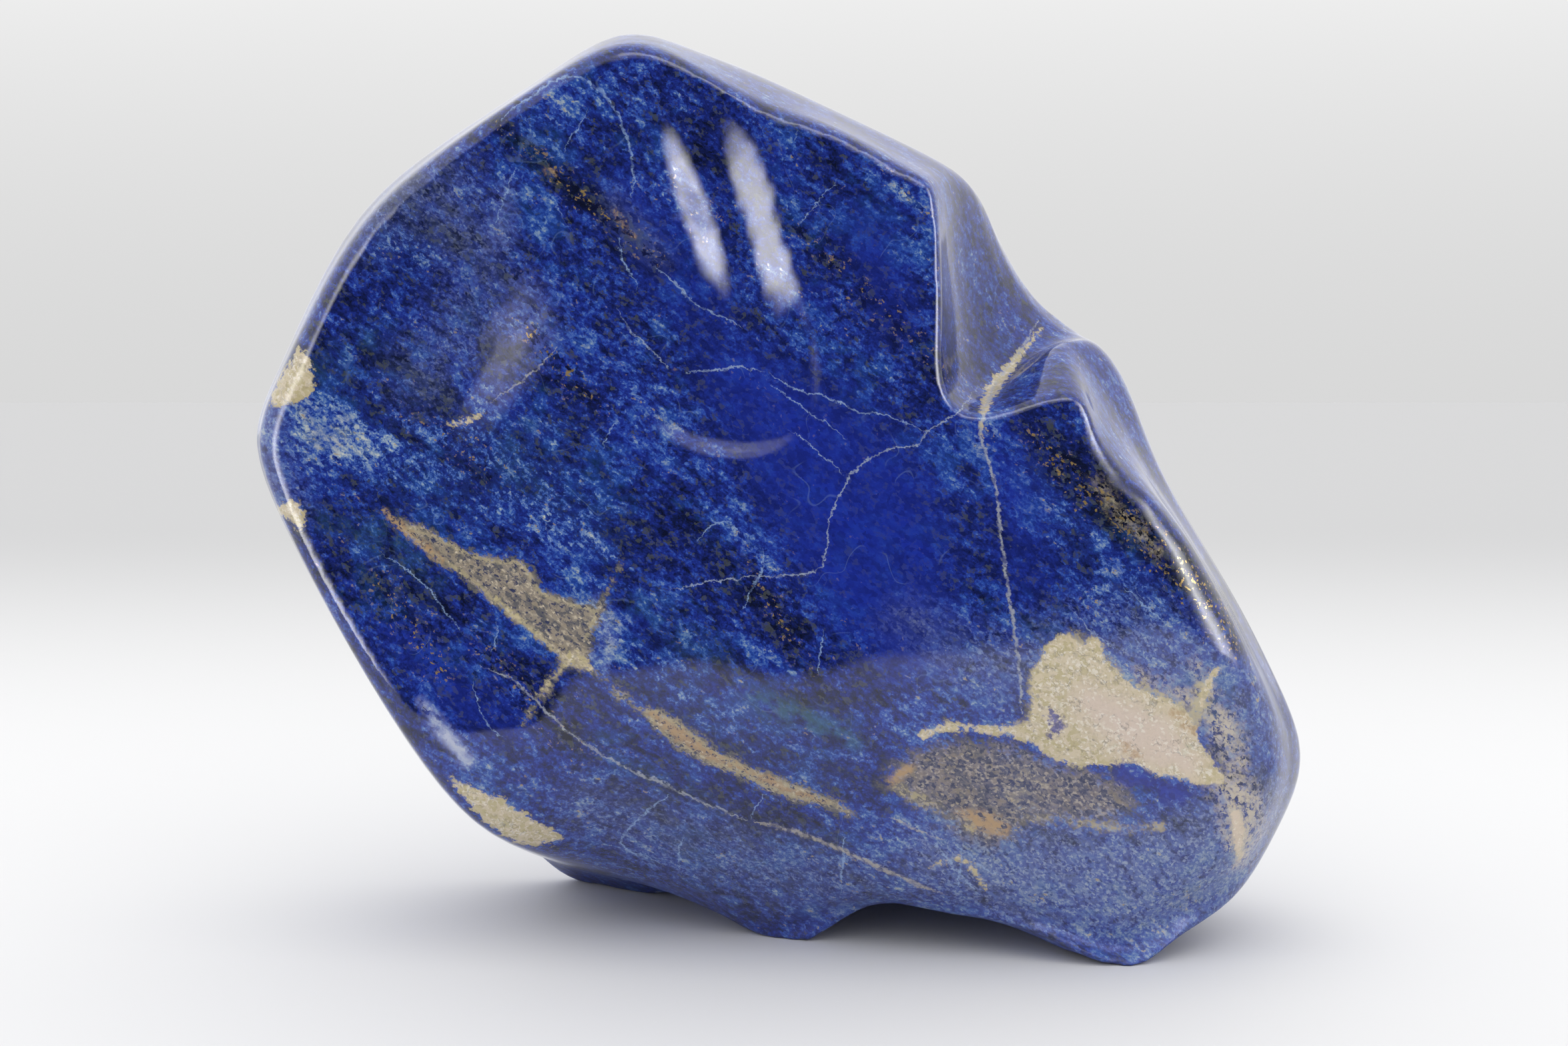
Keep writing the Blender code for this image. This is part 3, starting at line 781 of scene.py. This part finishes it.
lapisLook = {           # linear colours, lengths in mm
    "ground": [         # from the black grains through the blues to the white flecks
        (0.10, (0.0035, 0.006, 0.026)),
        (0.27, (0.006, 0.012, 0.082)),
        (0.40, (0.0095, 0.020, 0.165)),
        (0.50, (0.013, 0.031, 0.265)),
        (0.60, (0.025, 0.072, 0.38)),
        (0.69, (0.078, 0.155, 0.43)),
        (0.80, (0.25, 0.34, 0.47)),
        (0.94, (0.54, 0.57, 0.54)),
    ],
    "calmBlue": (0.010, 0.026, 0.315, 1),
    "calmDark": (0.008, 0.018, 0.220, 1),
    "black": (0.003, 0.004, 0.012, 1),
    "slate": (0.012, 0.026, 0.085, 1),
    "teal": (0.02, 0.12, 0.30, 1),
    "green": (0.035, 0.105, 0.120, 1),
    "grey": (0.120, 0.158, 0.340, 1),
    "frost": (0.40, 0.46, 0.52, 1),
    # the colour of the milky calcite and of the painted highlights and reflections
    "milkAndPaintedSheen": (0.43, 0.46, 0.60, 1),
    "olive": (0.070, 0.078, 0.050, 1),
    "beige": (0.32, 0.27, 0.195, 1),
    "drab": (0.120, 0.118, 0.120, 1),
    "orange": (0.44, 0.29, 0.155, 1),
    "cream": (0.62, 0.53, 0.38, 1),
    "rosy": (0.66, 0.54, 0.46, 1),
    "moss": (0.36, 0.40, 0.24, 1),
    "straw": (0.49, 0.42, 0.24, 1),
    "chalk": (0.78, 0.72, 0.62, 1),
    "tan": (0.30, 0.24, 0.165, 1),
    "grain": (0.150, 0.145, 0.165, 1),
    "darkGrain": (0.034, 0.042, 0.100, 1),
    "pyrite": (0.48, 0.33, 0.12, 1),
    "paleVein": (0.26, 0.38, 0.62, 1),
    "warmVein": (0.44, 0.39, 0.29, 1),
    "bandDip": 38.0,    # degrees down to the right
    "bandTurn": (0.25, 0.2),                    # radians about the other two ways
    "bend": (0.030, 9.0),                       # how the bands wander: scale, and how far
    "shakes": ((0.9, 1.3), (2.6, 0.5)),         # the same for the crystals, one after the other
    "stretch": {        # a small number draws a pattern out that way
        "banded": (0.26, 0.6, 1.0),
        "streaky": (0.11, 0.5, 1.0),
        "grained": (0.72, 0.9, 1.0),
    },
    "patterns": {       # what it is laid over, scale, detail and roughness
        "bands": ("banded", 0.085, 3.0, 0.60),
        "thinBands": ("banded", 0.34, 3.0, 0.60),
        "streaks": ("streaky", 0.75, 3.0, 0.60),
        "cloud": ("mm", 0.055, 3.0, 0.50),
        "mottle": ("grained", 0.24, 4.0, 0.62),
        "grain": ("grained", 0.75, 3.0, 0.65),
        "fine": ("mm", 1.6, 2.0, 0.60),
        "flecks": ("grained", 1.15, 2.0, 0.70),
        "ridges": ("bent", 0.040, 2.0, 0.50),
        "seams": ("shaken", 0.16, 3.0, 0.60),
    },
    "crystals": {"cells": 0.85, "specks": 1.75},
    "contrast": {       # how far each pattern moves the ground between black and white
        "grain": 0.48, "mottle": 0.66, "fine": 0.32, "thinBands": 0.42, "streaks": 0.34,
        "cells": 0.19, "specks": 0.18, "bands": 0.60, "cloud": 0.35,
    },
    "middle": 0.455,    # where the ground lies on its ramp
    "ragged": {"mottle": 6.0, "grain": 4.0, "cells": 1.3, "specks": 0.9},
    "edges": {          # a patch's soft edge, and how ragged it is
        "pepper": (3.2, 2.4), "grit": (3.0, 1.8), "beige": (0.6, 0.9), "orange": (0.9, 0.7),
        "cream": (0.45, 0.7), "rosy": (5.0, 1.6), "straw": (0.8, 1.1), "deep": (0.9, 1.2),
    },
    "roughness": 0.085,
    "roughBelow": 0.40, # more on the underside, which is ground and not polished
    "belowFrom": (24.0, 5.0),
    "index": 1.62,
    "reliefStrength": 0.12,
    "reliefDepth": 0.00035,                     # metres
}


def stonePatterns(m, look):         # every pattern by its name, most from 0 to 1
    mm = m.vector("SCALE", {0: m.add("ShaderNodeTexCoord", {}, {}, "Object"), "Scale": 1 / perMm})
    bent = m.shake(mm, *look["bend"])
    dip = (look["bandTurn"][0], math.radians(-look["bandDip"]), look["bandTurn"][1])
    turned = m.mapped(bent, Rotation=dip)
    straight = m.mapped(mm, Rotation=dip)
    places = {"mm": mm, "bent": bent}
    for name, stretch in look["stretch"].items():
        places[name] = m.mapped(straight if name == "grained" else turned, Scale=stretch)
    places["shaken"] = places["grained"]
    for scale, reach in look["shakes"]:
        places["shaken"] = m.shake(places["shaken"], scale, reach)
    p = {name: m.noise(places[over], *row) for name, (over, *row) in look["patterns"].items()}
    for name, scale in look["crystals"].items():
        p[name] = m.crystals(places["shaken"], scale)
    for name in paints:
        p[name] = m.kept(name)
    p["height"] = m.parts(mm)[2]
    return p


def mixed(p, **shares):             # patterns added up, each by its share
    parts = [p[name] * share for name, share in shares.items()]
    return sum(parts[1:], parts[0])


def centred(p, **shares):           # the same, about zero
    return mixed(p, **shares) - sum(shares.values()) / 2


def patchMasks(m, look, p):         # 1 well inside a patch, with a ragged edge
    ragged = centred(p, **look["ragged"])
    return {name: (m.kept(name) + ragged * share).step(soft, -soft)
            for name, (soft, share) in look["edges"].items()}


def blueGround(m, look, p):         # the blue, and the clean blue by itself
    wild = 1 - p["calm"] * 0.70
    level = centred(p, **look["contrast"]) * wild + p["tone"] + look["middle"]
    color = m.ramp(level, look["ground"])
    pure = m.blend(mixed(p, mottle=0.6, cells=0.4).step(0.30, 0.60), look["calmDark"], look["calmBlue"])
    even = p["calm"] * 0.75 + p["bands"].step(0.50, 0.62) * p["cloud"].step(0.42, 0.58) * 0.35
    color = m.blend(even.atMost(0.9), color, pure)
    dull = p["slate"] * mixed(p, streaks=0.4, cells=0.3, mottle=0.3).step(0.30, 0.60)
    color = m.blend(dull * level.step(0.66, 0.54) * 0.62, color, look["slate"])
    olive = mixed(p, cells=0.5, flecks=0.5).step(0.60, 0.72) * level.step(0.58, 0.44)
    color = m.blend(olive * (1 - p["calm"] * 0.8) * 0.6, color, look["olive"])
    veil = p["grey"] * mixed(p, mottle=0.5, grain=0.25, cells=0.25).step(0.20, 0.62)
    color = m.blend(veil * 0.9, color, look["grey"])
    frosted = mixed(p, specks=0.35, grain=0.35, streaks=0.3)
    color = m.blend(p["grey"] * frosted.step(0.52, 0.72) * 0.6, color, look["frost"])
    color = m.blend(p["grey"] * frosted.step(0.40, 0.28) * 0.6, color, look["slate"])
    # milky calcite, with the painted highlights and painted reflections drawn on the front
    milkAndSheenMask = p["milkAndPaintedSheen"] * mixed(p, mottle=0.5, streaks=0.25, cells=0.25).step(0.22, 0.60)
    color = m.blend(milkAndSheenMask, color, look["milkAndPaintedSheen"])
    color = m.blend(p["green"] * p["mottle"].step(0.36, 0.60) * 0.75, color, look["green"])
    teal = mixed(p, cloud=0.5, mottle=0.5).step(0.50, 0.62) * (1 - p["calm"])
    color = m.blend(teal * 0.16, color, look["teal"])
    hair = ((p["ridges"] - 0.5).size() + (p["fine"] - 0.5).size() * 0.004).step(0.0050, 0.0010)
    color = m.blend(hair * p["cloud"].step(0.50, 0.60) * 0.14, color, look["paleVein"])
    return color, pure


def addPyrite(m, look, p, color):   # it lies in the black of the streaks
    rich = p["gold"] + mixed(p, thinBands=0.55, bands=0.45).step(0.53, 0.62) * (1 - p["calm"]) * 0.4
    rich = rich.atMost(1.0)
    black = mixed(p, flecks=0.4, grain=0.3, cells=0.3).step(0.48, 0.38) * rich
    color = m.blend(black * 0.85, color, look["black"])
    glint = (mixed(p, specks=0.5, grain=0.5) + rich * 0.07).step(0.755, 0.785)
    color = m.blend(glint * (rich * 1.4).atMost(1.0), color, look["pyrite"])
    return color, glint * rich


def addGrains(m, look, p, on, color):   # grey and brown grain beside the large patch, and loose pale grains
    fill = mixed(p, grain=0.5, cells=0.25, specks=0.25).step(0.26, 0.58)
    grains = m.blend(fill, look["darkGrain"], look["grain"])
    brown = mixed(p, cells=0.2, specks=0.1, mottle=0.4, streaks=0.3).step(0.42, 0.64)
    grains = m.blend(brown * 0.85, grains, look["tan"])
    grains = m.blend((mixed(p, specks=1, grain=1) - 0.5).step(0.74, 0.96) * 0.5, grains, look["cream"])
    color = m.blend(on["pepper"] * 0.82, color, grains)
    loose = on["grit"] * mixed(p, specks=0.2, cells=0.25, mottle=0.25, streaks=0.3).step(0.36, 0.56)
    return m.blend(loose * 0.75, color, m.blend(p["cells"] * 0.6 + 0.4, look["straw"], look["cream"]))


def addCalcite(m, look, p, on, color):  # warm bands first, then the large pale patches
    dust = mixed(p, specks=0.5, flecks=0.5).step(0.36, 0.26)
    fill = mixed(p, streaks=0.35, cells=0.3, mottle=0.35).step(0.36, 0.60)
    warm = m.blend(fill, look["drab"], look["beige"])
    warm = m.blend(mixed(p, streaks=0.3, specks=0.3, grain=0.4).step(0.58, 0.72), warm, look["cream"])
    rim = (m.kept("beige") + 1.3).size().step(0.9, 0.3) * p["mottle"].step(0.35, 0.55)
    warm = m.blend(rim * 0.6, warm, look["straw"])
    warm = m.blend(on["orange"] * 0.85, warm, look["orange"])
    dark = mixed(p, streaks=0.4, specks=0.2, flecks=0.4).step(0.45, 0.36)
    warm = m.blend(dark * 0.85, warm, look["darkGrain"])
    warm = m.blend(dust * 0.6, warm, look["darkGrain"])
    rust = on["orange"] * mixed(p, cells=0.5, flecks=0.5).step(0.25, 0.62)
    color = m.blend(rust * 0.9, color, look["orange"])
    color = m.blend(on["beige"] * 0.93, color, warm)
    pale = m.blend(mixed(p, mottle=0.5, cells=0.5).step(0.25, 0.70), look["straw"], look["cream"])
    pale = m.blend(on["rosy"] * 0.85, pale, look["rosy"])
    pale = m.blend((mixed(p, specks=1, mottle=1) - 0.5).step(0.75, 0.95) * 0.7, pale, look["chalk"])
    pale = m.blend(on["orange"] * 0.7, pale, look["orange"])
    cracks = (p["seams"] - 0.5).size().step(0.016, 0.004) * p["mottle"].step(0.42, 0.56)
    pale = m.blend(cracks * 0.45, pale, look["drab"])
    pale = m.blend(dust * (1 - on["rosy"] * 0.7) * 0.22, pale, look["drab"])
    pale = m.blend(mixed(p, cloud=0.3, mottle=0.7).step(0.56, 0.66) * 0.25, pale, look["moss"])
    color = m.blend(on["straw"] * (p["cells"].step(0.15, 0.5) * 0.5 + 0.2), color, look["straw"])
    return m.blend(on["cream"] * 0.96, color, pale)


def addVeins(m, look, p, color, layers):
    bow = centred(p, grain=2.2, mottle=3.0, fine=0.7)
    broken = mixed(p, flecks=0.3, cells=0.3, mottle=0.4).step(0.30, 0.60) * 0.65 + 0.15
    lines = None
    for i in range(layers):
        across, half, drawn = m.parts(m.kept("veins%d" % i, "Color"))
        line = ((across + bow).size() / (half + 0.001)).step(1.7, 0.4)
        line = line * drawn.step(0.97, 0.999) * half.step(0.02, 0.10)
        tint = m.blend(m.kept("veins%d" % i, "Alpha"), look["paleVein"], look["warmVein"])
        color = m.blend(line * broken, color, tint)
        lines = line if lines is None else lines.atLeast(line)
    return color, lines


def polishedLapis(look, layers):
    material = bpy.data.materials.new("polishedLapis")
    material.use_nodes = True
    m = Maker(material.node_tree)
    surface = material.node_tree.nodes["Principled BSDF"]

    p = stonePatterns(m, look)
    on = patchMasks(m, look, p)
    color, pure = blueGround(m, look, p)
    color, metal = addPyrite(m, look, p, color)
    color = addGrains(m, look, p, on, color)
    color = addCalcite(m, look, p, on, color)
    color = m.blend(on["deep"] * 0.75, color, pure)
    color, lines = addVeins(m, look, p, color, layers)

    soft = (on["beige"] + on["cream"] + on["pepper"] * 0.4).atMost(1.0)     # takes less polish
    rough = look["roughness"] + soft * 0.05 + centred(p, mottle=0.04)
    rough = rough + p["height"].step(*look["belowFrom"]) * look["roughBelow"]
    relief = centred(p, grain=0.25, cloud=1.2) - lines * 0.12
    bump = m.add("ShaderNodeBump", {}, {"Strength": look["reliefStrength"],
                                        "Distance": look["reliefDepth"], "Height": relief})
    m.tree.links.new(color.socket, surface.inputs["Base Color"])
    m.tree.links.new(rough.socket, surface.inputs["Roughness"])
    m.tree.links.new((metal * (1 - soft) * 0.7).socket, surface.inputs["Metallic"])
    m.tree.links.new(bump.socket, surface.inputs["Normal"])
    surface.inputs["IOR"].default_value = look["index"]
    return material


lapis.data.materials.append(polishedLapis(lapisLook, veinLayers))
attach(lapis, "root")
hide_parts("lapis_lazuli")
print("stone finished")

# the table and the light tent

studio = {
    # painted shade: the table is drawn darker further back, as the light falls off, and again at its front
    # end
    "nearColor": (0.76, 0.76, 0.765, 1.0),
    "farShadedColor": (0.515, 0.515, 0.52, 1.0),
    "fadeFrom": 0.15,               # metres behind the middle of the stone
    "fadeTo": 0.95,
    "frontShadeColor": (0.30, 0.30, 0.305, 1.0),
    "frontShadeFrom": -0.34,              # painted shade: the table darkens from here to its front end
    "tableFront": -0.44,
    "tableBack": 2.0,
    "tableWide": 4.4,
    "roughness": 0.6,
    "specular": 0.1,
}


def addTable(s):
    bpy.ops.object.select_all(action="DESELECT")
    middle = (s["tableBack"] + s["tableFront"]) / 2
    bpy.ops.mesh.primitive_plane_add(size=1.0, location=(0, middle, 0))
    table = bpy.context.object
    table.name = "tableTop"
    table.scale = (s["tableWide"], s["tableBack"] - s["tableFront"], 1.0)
    bpy.ops.object.transform_apply(location=True, rotation=True, scale=True)
    material = bpy.data.materials.new("paleTable")
    material.use_nodes = True
    m = Maker(material.node_tree)
    surface = material.node_tree.nodes["Principled BSDF"]
    deep = m.parts(m.add("ShaderNodeTexCoord", {}, {}, "Object"))[1]
    # painted shade on the table: darker far back and towards the front end
    color = m.blend(deep.step(s["fadeFrom"], s["fadeTo"]), s["nearColor"], s["farShadedColor"])
    color = m.blend(deep.step(s["frontShadeFrom"], s["tableFront"]), color, s["frontShadeColor"])
    m.tree.links.new(color.socket, surface.inputs["Base Color"])
    surface.inputs["Roughness"].default_value = s["roughness"]
    surface.inputs["Specular IOR Level"].default_value = s["specular"]
    table.data.materials.append(material)


tent = {                            # angles in degrees: round from the camera's side, up from level
    "opening": (42.0, 52.0),        # to each side, in front, where the dark room shows
    "openingTop": (26.0, 34.0),
    "room": 0.02,
    "cloth": 1.15,
    "behind": (110.0, 160.0),       # the cloth is a little darker behind the stone
    "behindTop": (28.0, 12.0),
    "shadeBehind": 0.08,
    "fillSide": 0.62,               # light on the stone from the level and from straight above
    "fillTop": 1.65,
    "backdropLow": 0.69,
    "backdropTop": 0.85,
    "backdropFrom": -0.09,          # the sine of the lowest look at it, and how far up it reaches
    "backdropReach": 0.165,
    "lamps": [                      # round and up: middle and half width
        {"round": (0.0, 38.0), "up": (50.0, 8.0), "soft": 6.0, "bright": 3.0},
        {"round": (-56.0, 4.0), "up": (-3.0, 13.0), "soft": 11.0, "bright": 13.0},
        {"round": (-60.0, 8.0), "up": (14.0, 7.0), "soft": 8.0, "bright": 2.5},
        {"round": (53.0, 11.0), "up": (9.0, 22.0), "soft": 15.0, "bright": 10.0},
    ],
}


def addTent(t):
    world = bpy.data.worlds.new("lightTent")
    scene.world = world
    world.use_nodes = True
    m = Maker(world.node_tree)
    x, y, z = m.parts(m.add("ShaderNodeTexCoord", {}, {}, "Generated"))
    degree = 180 / math.pi
    around = x.calc("ARCTAN2", y * -1.0) * degree
    up = z.calc("ARCSINE") * degree
    cloth = around.size().step(*t["opening"]).atLeast(up.step(*t["openingTop"]))
    behind = around.size().step(*t["behind"]) * up.step(*t["behindTop"])
    mirrored = cloth * (1 - behind * t["shadeBehind"]) * (t["cloth"] - t["room"]) + t["room"]
    for lamp in t["lamps"]:
        glow = around.between(*lamp["round"], lamp["soft"]) * up.between(*lamp["up"], lamp["soft"])
        mirrored = mirrored + glow * lamp["bright"]
    fill = z.atLeast(0.0) * (t["fillTop"] - t["fillSide"]) + t["fillSide"]
    height = ((z - t["backdropFrom"]) / t["backdropReach"]).atLeast(0.0)
    backdrop = height * height * (t["backdropTop"] - t["backdropLow"]) + t["backdropLow"]
    isSeen = m.add("ShaderNodeLightPath", {}, {}, "Is Camera Ray")
    isMirrored = m.add("ShaderNodeLightPath", {}, {}, "Is Glossy Ray")
    strength = isSeen * backdrop + (1 - isSeen) * (isMirrored * mirrored + (1 - isMirrored) * fill)
    background = world.node_tree.nodes["Background"]
    m.tree.links.new(strength.socket, background.inputs["Strength"])
    background.inputs["Color"].default_value = (1, 1, 1, 1)


addTable(studio)
addTent(tent)
print("table and light set")
